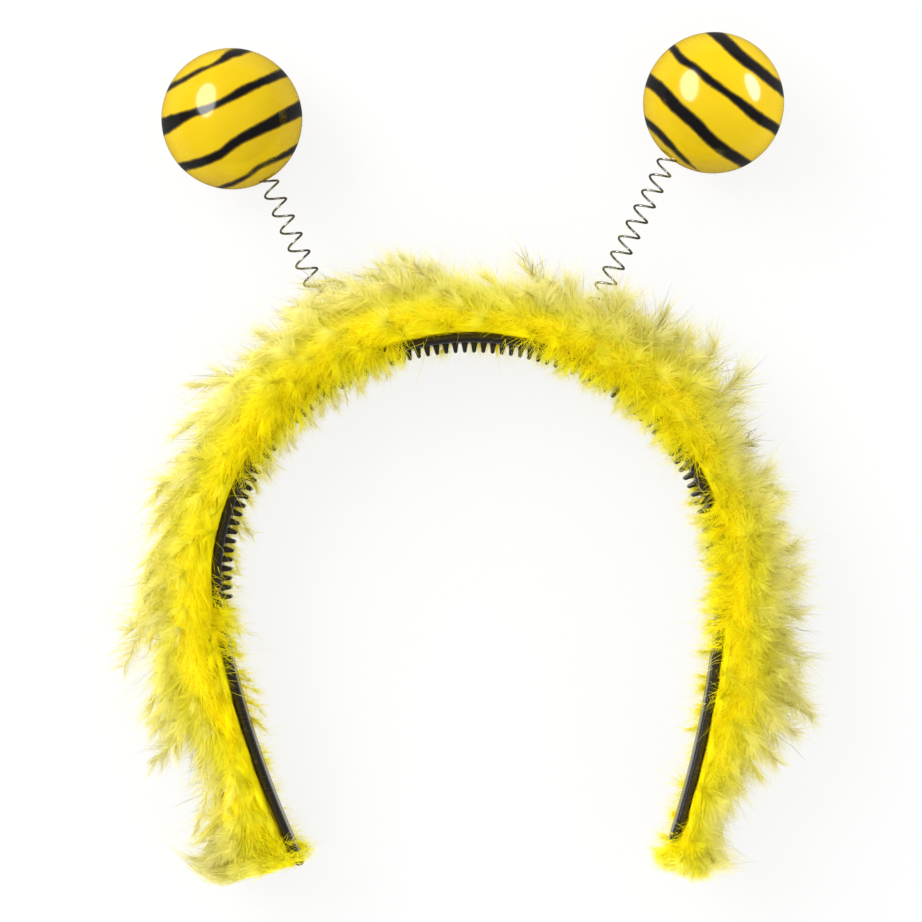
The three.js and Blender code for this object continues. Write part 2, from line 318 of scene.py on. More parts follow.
def newMaterial(name, **values):
    material = bpy.data.materials.new(name)
    material.use_nodes = True
    tree = material.node_tree
    shader = tree.nodes["Principled BSDF"]
    for key, value in values.items():
        shader.inputs[key].default_value = value
    return material, tree, shader


def bumpFrom(tree, shader, height, strength, distance):
    bump = addNode(tree, "Bump", {"Height": height, "Strength": strength, "Distance": distance})
    tree.links.new(bump.outputs[0], shader.inputs["Normal"])


blackPlastic = {"color": (0.024, 0.021, 0.018), "dust": (0.11, 0.10, 0.085), "rough": (0.20, 0.42)}


def makeBandMaterial():
    material, tree, shader = newMaterial("black_plastic", **{"Specular IOR Level": 0.55})
    where = addNode(tree, "TexCoord").outputs["Object"]
    wear = addNode(tree, "Group", {"Vector": where, "Scale": 1.0}, node_tree=wearGroup)
    dusty = math1(tree, "MULTIPLY", wear.outputs["Dust"], 0.35)
    color = addNode(tree, "Mix", {0: dusty, 6: (*blackPlastic["color"], 1), 7: (*blackPlastic["dust"], 1)},
                    data_type="RGBA")
    low, high = blackPlastic["rough"]
    worn = math1(tree, "MAXIMUM", wear.outputs["Scratches"], wear.outputs["Dust"])
    grain = math1(tree, "MULTIPLY_ADD", wear.outputs["Unevenness"], 0.12, low - 0.04)
    rough = math1(tree, "MULTIPLY_ADD", worn, high - low, grain)
    tree.links.new(color.outputs[2], shader.inputs["Base Color"])
    tree.links.new(rough, shader.inputs["Roughness"])
    scratched = math1(tree, "MULTIPLY", wear.outputs["Scratches"], 0.25)
    height = math1(tree, "SUBTRACT", wear.outputs["Unevenness"], scratched)
    bumpFrom(tree, shader, height, 0.35, 0.00012)
    return material


def makeWireMaterial():
    material, tree, shader = newMaterial("spring_wire", **{"Metallic": 1.0})
    where = addNode(tree, "TexCoord").outputs["Object"]
    drawn = addNode(tree, "TexNoise", {"Vector": where, "Scale": 1600, "Detail": 3})
    tarnish = addNode(tree, "TexNoise", {"Vector": where, "Scale": 160, "Detail": 2})
    color = ramp(tree, tarnish.outputs["Fac"], [(0.3, (0.34, 0.33, 0.31)), (0.7, (0.60, 0.59, 0.57))])
    tree.links.new(color, shader.inputs["Base Color"])
    tree.links.new(math1(tree, "MULTIPLY_ADD", drawn.outputs["Fac"], 0.22, 0.14), shader.inputs["Roughness"])
    bumpFrom(tree, shader, drawn.outputs["Fac"], 0.3, 0.00004)
    return material


downColorAndPaintedLight = {
    # from the rope outwards, by the UV map's V: the deeper orange near the rope is painted shade, and the
    # paler, greyer yellow towards the tips is painted light of thin down lit through from behind
    "stops": [(0.0, (0.98, 0.83, 0.0)), (0.22, (0.97, 0.90, 0.0)), (0.4, (0.94, 0.89, 0.05)),
              (0.56, (0.92, 0.87, 0.22)), (0.75, (0.88, 0.83, 0.35)), (1.0, (0.82, 0.78, 0.44))],
    "shade": (0.91, 1.03),   # darkest and lightest barbs, by the UV map's U
    "through": 0.5,          # share of the light that passes through a barb
}


def makeDownMaterial():
    material, tree, shader = newMaterial(
        "yellow_down", **{"Specular IOR Level": 0.1, "Sheen Weight": 0.1, "Sheen Roughness": 0.5})
    uv = addNode(tree, "UVMap", uv_map="OFBake").outputs[0]
    parts = addNode(tree, "SeparateXYZ", {0: uv})
    # colour by place outwards: painted shade near the rope, painted light at the thin tips
    color = ramp(tree, parts.outputs["Y"], downColorAndPaintedLight["stops"])
    low, high = downColorAndPaintedLight["shade"]
    shade = math1(tree, "MULTIPLY_ADD", parts.outputs["X"], high - low, low)
    lit = addNode(tree, "VectorMath", {0: color, "Scale": shade}, operation="SCALE").outputs[0]
    barbules = addNode(tree, "TexNoise", {"Vector": uv, "Scale": 40, "Detail": 2})
    tree.links.new(lit, shader.inputs["Base Color"])
    tree.links.new(math1(tree, "MULTIPLY_ADD", barbules.outputs["Fac"], 0.2, 0.6), shader.inputs["Roughness"])
    bumpFrom(tree, shader, barbules.outputs["Fac"], 0.1, 0.00005)
    thin = addNode(tree, "BsdfTranslucent", {"Color": lit})
    mix = addNode(tree, "MixShader", {0: downColorAndPaintedLight["through"], 1: shader.outputs[0], 2: thin.outputs[0]})
    tree.links.new(mix.outputs[0], tree.nodes["Material Output"].inputs["Surface"])
    return material


def makeRopeMaterial():
    material, tree, shader = newMaterial("down_rope", **{"Specular IOR Level": 0.1, "Roughness": 0.9})
    where = addNode(tree, "TexCoord").outputs["Object"]
    mattedAndPaintedShade = addNode(tree, "TexNoise", {"Vector": where, "Scale": 420, "Detail": 5})
    # its colour is a darker amber than the down's, painted shade of the boa's deep inside, and varies at
    # random with the same matted noise that gives its bumps
    color = ramp(tree, mattedAndPaintedShade.outputs["Fac"], [(0.3, (0.75, 0.52, 0.0)), (0.7, (0.96, 0.80, 0.0))])
    tree.links.new(color, shader.inputs["Base Color"])
    bumpFrom(tree, shader, mattedAndPaintedShade.outputs["Fac"], 0.9, 0.0012)
    return material


bandMaterial = makeBandMaterial()
wireMaterial = makeWireMaterial()
downMaterial = makeDownMaterial()
ropeMaterial = makeRopeMaterial()


band = {
    "edgeRadius": 1.0,
    "edgeSteps": 6,
    "station": 1.3,
    "tip": 6,              # length of the rounded tip
    "partingHeight": 0.1,  # mould line along both edges
    "partingWidth": 0.22,
    "toothPitch": 2.62,
    "toothCount": 81,
    "toothLength": 2.6,
    "toothSpan": 7,
}


def bandBody():
    radius, steps = band["edgeRadius"], band["edgeSteps"]
    halfWidth = bandPath["width"] / 2
    section = []
    for i, (out, rise) in enumerate([(1, 1), (-1, 1), (-1, -1), (1, -1)]):
        for step in range(steps + 1):
            angle = (i + step / steps) * math.pi / 2
            section.append((out * (faceOut - radius) + radius * math.cos(angle),
                            rise * (halfWidth - radius) + radius * math.sin(angle)))
        if i % 2 == 0:
            for share, lift in ((1, 0), (0, 1), (-1, 0)):
                section.append((rise * share * band["partingWidth"] / 2,
                                rise * (halfWidth + lift * band["partingHeight"])))
    section = np.array(section)
    ends = np.array([0, 0.12, 0.4, 0.8, 1.4, 2.2, 3.2, 4.4])
    middle = np.linspace(-bandHalf + band["tip"], bandHalf - band["tip"], int(2 * bandHalf / band["station"]))
    along = np.concatenate([ends - bandHalf, middle, (bandHalf - ends)[::-1]])
    past = np.clip((np.abs(along) - bandHalf + band["tip"]) / band["tip"], 0, 1)
    width = np.sqrt(1 - 0.93 * past ** 2)
    left = np.clip((bandHalf - np.abs(along)) / 0.8, 0, 1)
    wall = np.sqrt(np.clip(1 - (1 - left) ** 2, 0.06, 1))
    rings = np.empty((len(along), len(section), 3))
    rings[..., 0] = along[:, None]
    rings[..., 1] = section[None, :, 0] * wall[:, None]
    rings[..., 2] = section[None, :, 1] * width[:, None]
    return rings.reshape(-1, 3), loftTriangles(len(along), len(section))


# a comb tooth as (run along the band, depth from the inner face), then lofted across the band
def toothBodies():
    flank = [(1.12, -0.25), (0.98, 0.02), (0.86, 0.35), (0.74, 1.0), (0.62, 1.6)]
    tipRadius = 0.58
    arc = [(tipRadius * math.cos(a), band["toothLength"] - tipRadius + tipRadius * math.sin(a))
           for a in np.linspace(0.1, math.pi - 0.1, 8)]
    outline = np.array(flank + arc + [(-run, depth) for run, depth in reversed(flank)])
    half = band["toothSpan"] / 2
    rises = np.array([-1, -0.965, -0.88, -0.4, 0.4, 0.88, 0.965, 1]) * half
    insets = np.array([0.55, 0.2, 0, 0, 0, 0, 0.2, 0.55])
    bodies = []
    count = band["toothCount"] // 2
    run, depth = outline[None, :, 0], outline[None, :, 1]
    for k in range(-count, count + 1):
        rings = np.empty((len(rises), len(outline), 3))
        scale = 1 - insets[:, None] * 0.45
        worn = insets[:, None] * 0.35 * smooth(0, band["toothLength"], depth)
        rings[..., 0] = k * band["toothPitch"] + run * scale
        rings[..., 1] = -faceOut - (depth - worn)
        rings[..., 2] = rises[:, None] * (1 - 0.16 * np.clip(depth, 0, 9) / band["toothLength"])
        bodies.append((rings.reshape(-1, 3), loftTriangles(len(rises), len(outline))))
    return bodies


antennas = {
    "left": {"side": -1, "place": 0.49, "lean": 20.4, "length": 54.5, "openTurns": 11, "ballShift": 2.1},
    "right": {"side": 1, "place": 0.53, "lean": 30.3, "length": 59.3, "openTurns": 13.25, "ballShift": 4.0},
}
spring = {
    "wire": 0.62, "coil": 5.0, "closedPitch": 1.05, "footTurns": 2, "headTurns": 1.25, "phase": -0.22,
    "socketDepth": 7, "gap": 0.3, "pegHeight": 5, "pegRadius": 1.84,
    "stepsPerTurn": 36, "sides": 10,
    "lowerBend": (5.5, 24), "upperBend": (27, 48), "split": 25.5,   # heights over the band
}
ball = {"radius": 19, "around": 128, "down": 64, "socket": 3.15, "lip": 0.25}


# the foot of a spring, its line and the direction across it, in the arch's own mm
def springLine(antenna):
    along = np.array([antenna["side"] * antenna["place"] * bandPath["arcs"][0][1]])
    point, out, travel = bandPlace(along)
    foot = np.append(point[0] + out[0] * faceOut, 0)
    lean = math.radians(antenna["lean"])
    line = np.array([antenna["side"] * math.sin(lean), math.cos(lean), 0])
    across = np.array([antenna["side"] * math.cos(lean), -math.sin(lean), 0])
    return foot, line, across


def pegBody(antenna):
    foot, line, across = springLine(antenna)
    angles = np.arange(20) / 20 * 2 * math.pi
    turn = np.cross(line, across)
    spoke = np.cos(angles)[:, None] * across + np.sin(angles)[:, None] * turn
    top = spring["pegHeight"]
    rings = []
    for height, share in ((-1, 1), (top - 0.5, 1), (top - 0.12, 0.9), (top, 0.7)):
        rings.append(foot + line * height + spring["pegRadius"] * share * spoke)
    return np.concatenate(rings), loftTriangles(4, 20)


def makeBand():
    points, triangles = joinBodies([bandBody()] + toothBodies())
    points = toFrame(points)
    pegs = [((p + origin) * mm, t) for p, t in (pegBody(antenna) for antenna in antennas.values())]
    points, triangles = joinBodies([(points, triangles)] + pegs)
    piece = addMesh("band_moulding", points, triangles, bandMaterial)
    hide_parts("band")
    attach(piece, "headband")


makeBand()
print("band made")


def makeSpring(side, antenna):
    foot, line, across = springLine(antenna)
    upwards = np.array([0, 0, 1.0])
    start = spring["gap"] + spring["wire"] / 2
    end = antenna["length"] + spring["socketDepth"] - start
    closed = spring["footTurns"] + spring["headTurns"]
    turns = closed + antenna["openTurns"]
    pitch = (end - start - closed * spring["closedPitch"]) / antenna["openTurns"]
    turned = np.linspace(0, turns, int(turns * spring["stepsPerTurn"]) + 1)
    opened = np.clip(turned - spring["footTurns"], 0, antenna["openTurns"])
    height = start + (turned - opened) * spring["closedPitch"] + opened * pitch
    angle = -antenna["side"] * (turned + spring["phase"]) * 2 * math.pi   # both are wound the same way
    radial = np.cos(angle)[:, None] * across + np.sin(angle)[:, None] * upwards
    path = foot + height[:, None] * line + radial * spring["coil"] / 2
    forward = unit(np.gradient(path, axis=0))
    sideways = unit(np.cross(forward, radial))
    angles = np.arange(spring["sides"]) / spring["sides"] * 2 * math.pi
    rings = (path[:, None] + spring["wire"] / 2
             * (np.cos(angles)[:, None] * radial[:, None] + np.sin(angles)[:, None] * sideways[:, None]))
    rings = (rings + origin) * mm
    cut = int(np.searchsorted(height, spring["split"]))
    halves = (
        ("lower", rings[: cut + 1], "headband", side + "_spring", spring["lowerBend"]),
        ("upper", rings[cut:], side + "_spring", side + "_ball", spring["upperBend"]),
    )
    for label, part, bodyA, bodyB, (bendFrom, bendTo) in halves:
        piece = addMesh(f"spring_{side}_{label}", part.reshape(-1, 3),
                        loftTriangles(len(part), spring["sides"])[:, ::-1], wireMaterial)
        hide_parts("spring_" + side)
        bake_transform(piece)


for side, antenna in antennas.items():
    makeSpring(side, antenna)
print("springs made")


# Brushed strokes across each ball, in shares of its radius as seen from the front: place along
# the stroke, its middle across the strokes, and half its width
strokes = {
    "left": {"turn": 22.2, "rows": [
        [(-0.61, 0.783, 0.043), (-0.4, 0.785, 0.033), (-0.12, 0.801, 0.033), (0.06, 0.793, 0.024),
         (0.19, 0.796, 0.038), (0.36, 0.82, 0.064), (0.56, 0.796, 0.057)],
        [(-0.92, 0.323, 0.119), (-0.72, 0.321, 0.095), (-0.51, 0.314, 0.062), (-0.32, 0.286, 0.06),
         (-0.11, 0.268, 0.048), (0.07, 0.272, 0.052), (0.32, 0.287, 0.064), (0.55, 0.281, 0.06),
         (0.94, 0.267, 0.067)],
        [(-0.93, -0.306, 0.067), (-0.75, -0.34, 0.067), (-0.55, -0.368, 0.067), (-0.34, -0.364, 0.067),
         (-0.13, -0.318, 0.071), (0.03, -0.304, 0.071), (0.46, -0.296, 0.09), (0.94, -0.287, 0.107)],
        [(-0.55, -0.805, 0.029), (-0.37, -0.823, 0.033), (-0.15, -0.808, 0.033), (0.05, -0.772, 0.038),
         (0.18, -0.77, 0.038), (0.39, -0.777, 0.04), (0.63, -0.772, 0.052)],
    ]},
    "right": {"turn": -44.8, "rows": [
        [(-0.63, 0.752, 0.084), (-0.37, 0.748, 0.086), (-0.1, 0.737, 0.086), (0.14, 0.756, 0.079),
         (0.42, 0.764, 0.077), (0.6, 0.779, 0.077)],
        [(-0.97, 0.202, 0.053), (-0.73, 0.167, 0.06), (-0.52, 0.197, 0.053), (-0.25, 0.202, 0.062),
         (0.05, 0.227, 0.053), (0.32, 0.247, 0.067), (0.58, 0.253, 0.079), (0.93, 0.3, 0.072)],
        [(-0.93, -0.368, 0.096), (-0.73, -0.346, 0.091), (-0.53, -0.367, 0.096), (-0.3, -0.381, 0.091),
         (-0.04, -0.38, 0.091), (0.24, -0.405, 0.086), (0.49, -0.404, 0.086), (0.92, -0.349, 0.077)],
        [(-0.56, -0.824, 0.048), (-0.39, -0.817, 0.053), (-0.15, -0.831, 0.053), (0.07, -0.854, 0.038),
         (0.26, -0.865, 0.029), (0.4, -0.862, 0.007)],
    ]},
}
lacquer = {
    "yellow": ((0.575, 0.385, 0.0), (0.615, 0.425, 0.0)),
    "ink": (0.006, 0.005, 0.0045),
    "bleed": (0.16, 0.10, 0.0),
}


# a hand-drawn line as a curve over -1 to 1
def strokeCurve(tree, along, points):
    node = addNode(tree, "FloatCurve", {"Value": along})
    curve = node.mapping.curves[0]
    curve.points[0].location = (0, points[0][1])
    curve.points[-1].location = (1, points[-1][1])
    for x, y in points:
        curve.points.new(x, y)
    node.mapping.update()
    return node.outputs[0]


def makeBallMaterial(side, centre):
    gloss = {"Specular IOR Level": 0.1, "Coat Weight": 0.55, "Coat Roughness": 0.12, "Coat IOR": 2.0}
    material, tree, shader = newMaterial("lacquer_" + side, **gloss)
    where = addNode(tree, "TexCoord").outputs["Object"]
    inRadii = addNode(tree, "VectorMath", {0: where, "Scale": 1 / (ball["radius"] * mm)}, operation="SCALE")
    # the strokes were measured in the picture, so they are laid out round the line of sight
    sight = (camera.location - centre).normalized()
    turn = math.radians(strokes[side]["turn"])
    alongStroke = Vector((math.cos(turn), math.sin(turn), 0))
    alongStroke = (alongStroke - sight * alongStroke.dot(sight)).normalized()
    axes = Matrix((alongStroke, sight.cross(alongStroke), sight))
    turned = addNode(tree, "Mapping", {"Vector": inRadii.outputs[0], "Rotation": axes.to_euler("XYZ")})
    parts = addNode(tree, "SeparateXYZ", {0: turned.outputs[0]})
    # behind the ball the strokes wander, so that the back isn't the front again
    drift = addNode(tree, "TexNoise", {"Vector": turned.outputs[0], "Scale": 1.3, "Detail": 1})
    back = addNode(tree, "MapRange", {0: parts.outputs["Z"], 1: 0.0, 2: -0.6, 3: 0.0, 4: 0.5})
    wander = math1(tree, "MULTIPLY", math1(tree, "SUBTRACT", drift.outputs["Fac"], 0.5), back.outputs[0])
    across = math1(tree, "MULTIPLY_ADD", math1(tree, "ADD", parts.outputs["Y"], wander), 0.5, 0.5)
    along = math1(tree, "MULTIPLY_ADD", parts.outputs["X"], 0.5, 0.5)
    ragged = addNode(tree, "TexNoise",
                     {"Vector": turned.outputs[0], "Scale": 7, "Detail": 4, "Roughness": 0.6})
    rag = math1(tree, "MULTIPLY_ADD", ragged.outputs["Fac"], 0.036, -0.018)
    inside = None
    for row in strokes[side]["rows"]:
        middle = strokeCurve(tree, along, [(s / 2 + 0.5, t / 2 + 0.5) for s, t, width in row])
        half = strokeCurve(tree, along, [(s / 2 + 0.5, width) for s, t, width in row])
        edge = addNode(tree, "Group", {"Across": across, "Centre": middle, "Half Width": half, "Ragged": rag},
                       node_tree=strokeGroup).outputs[0]
        inside = edge if inside is None else math1(tree, "MAXIMUM", inside, edge)
    paint = addNode(tree, "MapRange", {0: inside, 1: -0.02, 2: 0.026}).outputs[0]
    bristles = addNode(tree, "Mapping", {"Vector": turned.outputs[0], "Scale": (1.5, 40, 40)})
    streaks = addNode(tree, "TexNoise", {"Vector": bristles.outputs[0], "Scale": 1, "Detail": 3})
    uneven = addNode(tree, "TexNoise", {"Vector": inRadii.outputs[0], "Scale": 2.2, "Detail": 4})
    yellow = ramp(tree, uneven.outputs["Fac"], [(0.3, lacquer["yellow"][0]), (0.7, lacquer["yellow"][1])])
    bleed = addNode(tree, "MapRange", {0: paint, 1: 0.0, 2: 0.55}).outputs[0]
    dark = addNode(tree, "MapRange", {0: paint, 1: 0.4, 2: 1.0}).outputs[0]
    stained = addNode(tree, "Mix", {0: bleed, 6: yellow, 7: (*lacquer["bleed"], 1)}, data_type="RGBA")
    color = addNode(tree, "Mix", {0: dark, 6: stained.outputs[2], 7: (*lacquer["ink"], 1)}, data_type="RGBA")
    tree.links.new(color.outputs[2], shader.inputs["Base Color"])
    rough = math1(tree, "MULTIPLY_ADD", streaks.outputs["Fac"], 0.2, 0.18)
    tree.links.new(rough, shader.inputs["Roughness"])
    wear = addNode(tree, "Group", {"Vector": where, "Scale": 1.0}, node_tree=wearGroup)
    height = math1(tree, "MULTIPLY_ADD", paint, math1(tree, "MULTIPLY_ADD", streaks.outputs["Fac"], 0.5, 0.4),
                   math1(tree, "MULTIPLY", wear.outputs["Unevenness"], 0.8))
    bumpFrom(tree, shader, height, 0.35, 0.00012)
    return material


# meridians run from the socket's rim to the far side of the ball, and on into the socket
def makeBall(side, antenna):
    foot, line, across = springLine(antenna)
    radius, shift = ball["radius"], antenna["ballShift"]
    centre = foot + line * (antenna["length"] + math.sqrt(radius ** 2 - shift ** 2)) + across * shift
    turn = np.cross(line, across)
    angles = np.arange(ball["around"]) / ball["around"] * 2 * math.pi
    spoke = np.cos(angles)[:, None] * across + np.sin(angles)[:, None] * turn

    def onBall(reach):
        sideways = -across * shift + spoke * reach
        depth = np.sqrt(radius ** 2 - np.sum(sideways ** 2, 1))
        return sideways - depth[:, None] * line

    rim = onBall(ball["socket"] + ball["lip"])
    start = unit(rim)
    far = -unit(start.mean(0))
    full = np.arccos(np.clip(start @ far, -1, 1))[:, None]
    rings = []
    mouth = -math.sqrt(radius ** 2 - shift ** 2)
    floor = mouth + spring["socketDepth"]
    for height, reach in ((floor, 0.55), (floor, 1), (mouth + 1.2, 1)):
        rings.append(-across * shift + spoke * ball["socket"] * reach + line * height)
    lip = onBall(ball["socket"])
    rings.append(lip + line * ball["lip"])
    rings.append((lip + line * ball["lip"] * 0.3) * 0.6 + rim * 0.4)
    for share in np.linspace(0, 0.985, ball["down"]) ** 1.05:
        between = np.sin((1 - share) * full) * start + np.sin(share * full) * far
        rings.append(radius * between / np.sin(full))
    points = np.concatenate(rings) * mm
    triangles = loftTriangles(len(rings), ball["around"])
    place = Vector((centre + origin) * mm)
    piece = addMesh("ball_lacquered_" + side, points, triangles, makeBallMaterial(side, place))
    piece.location = place
    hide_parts("ball_" + side)
    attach(piece, side + "_ball")


for side, antenna in antennas.items():
    makeBall(side, antenna)

# the picture shows the side softbox on the right ball alone, and no lamp from above on either ball
rightBall = bpy.data.collections.new("right_ball_light")
rightBall.objects.link(bpy.data.objects["ball_lacquered_right"])
lamps["side_softbox"].light_linking.receiver_collection = rightBall
topLit = bpy.data.collections.new("top_light")
for piece in bpy.data.objects:
    if piece.name.startswith("spring_"):
        topLit.objects.link(piece)
lamps["down_fill"].light_linking.receiver_collection = topLit
plateLit = bpy.data.collections.new("plate_light")
plateLit.objects.link(bpy.data.objects["band_moulding"])
lamps["light_plate"].light_linking.receiver_collection = plateLit
print("balls made")


# Read along the band from the left tip (-1) to the right (1). near and far are where the down is
# still thick and where its last tips end, inside is how far wisps reach past the inner face, cover
# how much of the band they hide, sweep how far a plume runs along the band, and wispy how much its
# barbs cling together; all but along, cover and wispy in mm
downColumns = ("along", "near", "far", "inside", "cover", "sweep", "wispy")
downRows = [
    (-1.0, 19, 23, 4, 0.9, -8, 0.3),
    (-0.95, 23, 28, 5, 0.7, -9, 0.3),
    (-0.91, 22, 29, 2, 0.45, -12, 0.4),
    (-0.87, 16, 25, 1, 0.1, -15, 0.7),
    (-0.83, 12, 21, 1, 0.1, -18, 0.8),
    (-0.79, 13, 23, 4, 0.35, -18, 0.8),
    (-0.75, 20, 29, 4, 0.25, -18, 0.8),
    (-0.71, 22, 32, 7, 0.25, -18, 0.8),
    (-0.63, 20, 32, 8, 0.75, -15, 0.7),
    (-0.59, 18, 31, 10, 1.0, -17, 0.9),
    (-0.52, 15, 26, 7, 0.5, -17, 0.9),
    (-0.43, 13, 25, 11, 0.25, -17, 0.9),
    (-0.38, 15, 25, 10, 0.7, -16, 0.8),
    (-0.32, 18, 27, 10, 1.0, -15, 0.7),
    (-0.2, 18, 26, 9, 0.95, -13, 0.6),
    (-0.12, 19, 27, 9, 1.0, -13, 0.6),
    (-0.09, 18, 27, 8, 1.0, -12, 0.6),
    (-0.06, 17, 26, 4, 0.4, -10, 0.5),
    (0.04, 13, 24, 3, 0.35, -10, 0.5),
    (0.115, 15, 22, 4, 0.6, -7, 0.4),
    (0.145, 15, 23, 5, 1.0, -6, 0.3),
    (0.2, 17, 24, 7, 0.95, -4, 0.1),
    (0.31, 18, 28, 7, 1.0, 0, 0.1),
    (0.38, 14, 24, 6, 0.9, 2, 0.1),
    (0.43, 11, 19, 5, 0.4, 4, 0.1),
    (0.49, 16, 22, 9, 0.95, 4, 0.1),
    (0.57, 14, 22, 7, 1.0, 5, 0.1),
    (0.65, 16, 25, 6, 0.9, 6, 0.1),
    (0.71, 21, 28, 2, 0.45, 8, 0.1),
    (0.76, 23, 30, 7, 0.65, 12, 0.4),
    (0.81, 16, 25, 1, 0.1, 16, 0.4),
    (0.87, 12, 18, 1, 0.1, 16, 0.5),
    (0.92, 8, 12, 3, 0.45, 12, 0.5),
    (0.96, 11, 15, 5, 0.6, 10, 0.5),
    (1.0, 15, 19, 6, 1.0, 8, 0.5),
]
down = {
    "seed": 7,
    "overhang": 4.5,
    "rise": 20,             # how far the plumes stand out over and under the arch's plane
    "floor": -18.85,        # the table presses the lowest barbs flat
    "plumes": 400,
    "tufts": 13,            # wisps of barbs on each plume
    "tuftBarbs": 38,
    "tuftLength": (6, 11),   # at the plume's tip and at its root
    "hanging": 240,         # small plumes that bend over the band's edges
    "endPlumes": 14,
    "leftGap": 9,           # the backing stops this far short of the left tip
    "strays": 5000,
    "undercoat": 50000,
    "barbWidth": 0.135,
    "softness": 0.62,       # how much of the shading follows the outer form, not each barb
    "rope": 0.6,            # the backing's size as a share of the thick down
    "sections": 6,
}
downHalf = bandHalf + down["overhang"]
ropeHalf = bandHalf - 1
downTable = dict(zip(downColumns, np.array(downRows).T))


def downRow(along, key):
    return np.interp(along / downHalf, downTable["along"], downTable[key])


# keeps barbs off the band and its teeth, above the table and within the boa's cut ends; only a few
# cross the band where it shows
def clearOfBand(rng, points):
    count = len(points)
    outside = np.maximum(points[..., 1], 0)
    leftLimit = bandHalf - 0.2 * outside - 0.08 * np.maximum(outside - 19, 0) ** 2
    leftLimit -= 0.12 * np.maximum(points[..., 2], 0)
    limit = np.where(points[..., 0] < 0, leftLimit, bandHalf + 8.5 - 0.012 * outside ** 2)
    uneven = rng.random(count)[:, None]
    past = np.abs(points[..., 0]) - limit + 4 * uneven
    points[..., 0] -= np.sign(points[..., 0]) * np.maximum(past, 0) * (0.8 + 0.2 * (uneven * 7.3 % 1))

    onBand = np.abs(points[..., 0]) < bandHalf + 0.3
    crosses = rng.random(count) < downRow(points[:, 0, 0], "cover") ** 5
    held = (~crosses & (points[..., 2].mean(1) > -5.5))[:, None] & onBand
    edge = 1.35 + 1.0 * rng.random(count)[:, None]
    points[..., 1] = np.where(held, np.maximum(points[..., 1], edge), points[..., 1])
    teeth = np.where(np.abs(points[..., 0]) < 107, 4.3, 1.5)
    near = onBand & (points[..., 1] < 1.34) & (points[..., 1] > -teeth) & (np.abs(points[..., 2]) < 5.5)
    face = np.where(points[..., 2].mean(1) < 0, -1.0, 1.0)[:, None]
    points[..., 2] = np.where(near, face * 5.6, points[..., 2])
    points[..., 2] = np.maximum(points[..., 2], down["floor"])
    points[..., 2] -= 0.7 * np.maximum(points[..., 2] - 22, 0)
    return points


# across a barb's flat, which mostly lies along the boa's surface
def barbSide(rng, root, tip):
    centre = downRow(root[:, 0], "near") * 0.35
    outwards = unit(np.stack([np.zeros(len(root)), tip[:, 1] - centre, tip[:, 2] * 0.9], 1))
    return unit(np.cross(unit(tip - root), outwards + rng.normal(size=root.shape) * 0.42))


# where a barb's points lie between the rope and the last tips, for its colour: low values get the painted
# shade near the rope, high values the painted light of thin tips, which also goes to wisps inside the arch
# and past the right tip
def outwardness(points, lift):
    outwards = np.clip(points[..., 1] / downRow(points[..., 0], "far"), 0, 1)
    outwards = np.maximum(outwards, np.clip(-points[..., 1] / 8, 0, 0.9))
    outwards = np.maximum(outwards, np.clip((points[..., 0] - bandHalf) / 14, 0, 0.6))
    return np.clip(0.78 * outwards + 0.12 * np.abs(points[..., 2]) / down["rise"] + lift, 0.02, 0.98)


# points are shaded partly as if they were on the boa's soft outer form
def softNormals(points, fronts):
    centre = downRow(points[..., 0], "near") * 0.35
    above = np.where(points[..., 2] < 0, -1.0, 1.0)
    outwards = unit(np.stack([0 * centre, (points[..., 1] - centre) / 12, above + points[..., 2] / 12], -1))
    outwards = unit(toFrame(points + outwards) - toFrame(points))
    facing = np.sign(np.sum(fronts[:, None] * outwards, -1, keepdims=True))
    return unit(outwards * down["softness"] + fronts[:, None] * facing * (1 - down["softness"]))


# tapering ribbons along spines of two or three points: a triangle at the tip, a pair below each bend
def barbs(rng, spine, width, shade, lift):
    spine = clearOfBand(rng, spine)
    count, bends = spine.shape[:2]
    side = barbSide(rng, spine[:, 0], spine[:, -1])
    points = np.empty((count, 2 * bends - 1, 3))
    for i in range(bends - 1):
        half = (width / 2 * (1 - 0.25 * i))[:, None] * side
        points[:, 2 * i], points[:, 2 * i + 1] = spine[:, i] - half, spine[:, i] + half
    points[:, -1] = spine[:, -1]
    place = outwardness(points, lift[:, None])
    uv = np.stack([np.broadcast_to(shade[:, None], place.shape), place], -1)
    corners = [(0, 1, 3), (0, 3, 2), (2, 3, 4)] if bends == 3 else [(0, 1, 2)]
    return points, uv, np.array(corners)


def bend(a, b, c, t):
    t = t[:, None]
    return (1 - t) ** 2 * a + 2 * t * (1 - t) * b + t ** 2 * c


def bendDirection(a, b, c, t):
    t = t[:, None]
    return unit(2 * (1 - t) * (b - a) + 2 * t * (c - b))


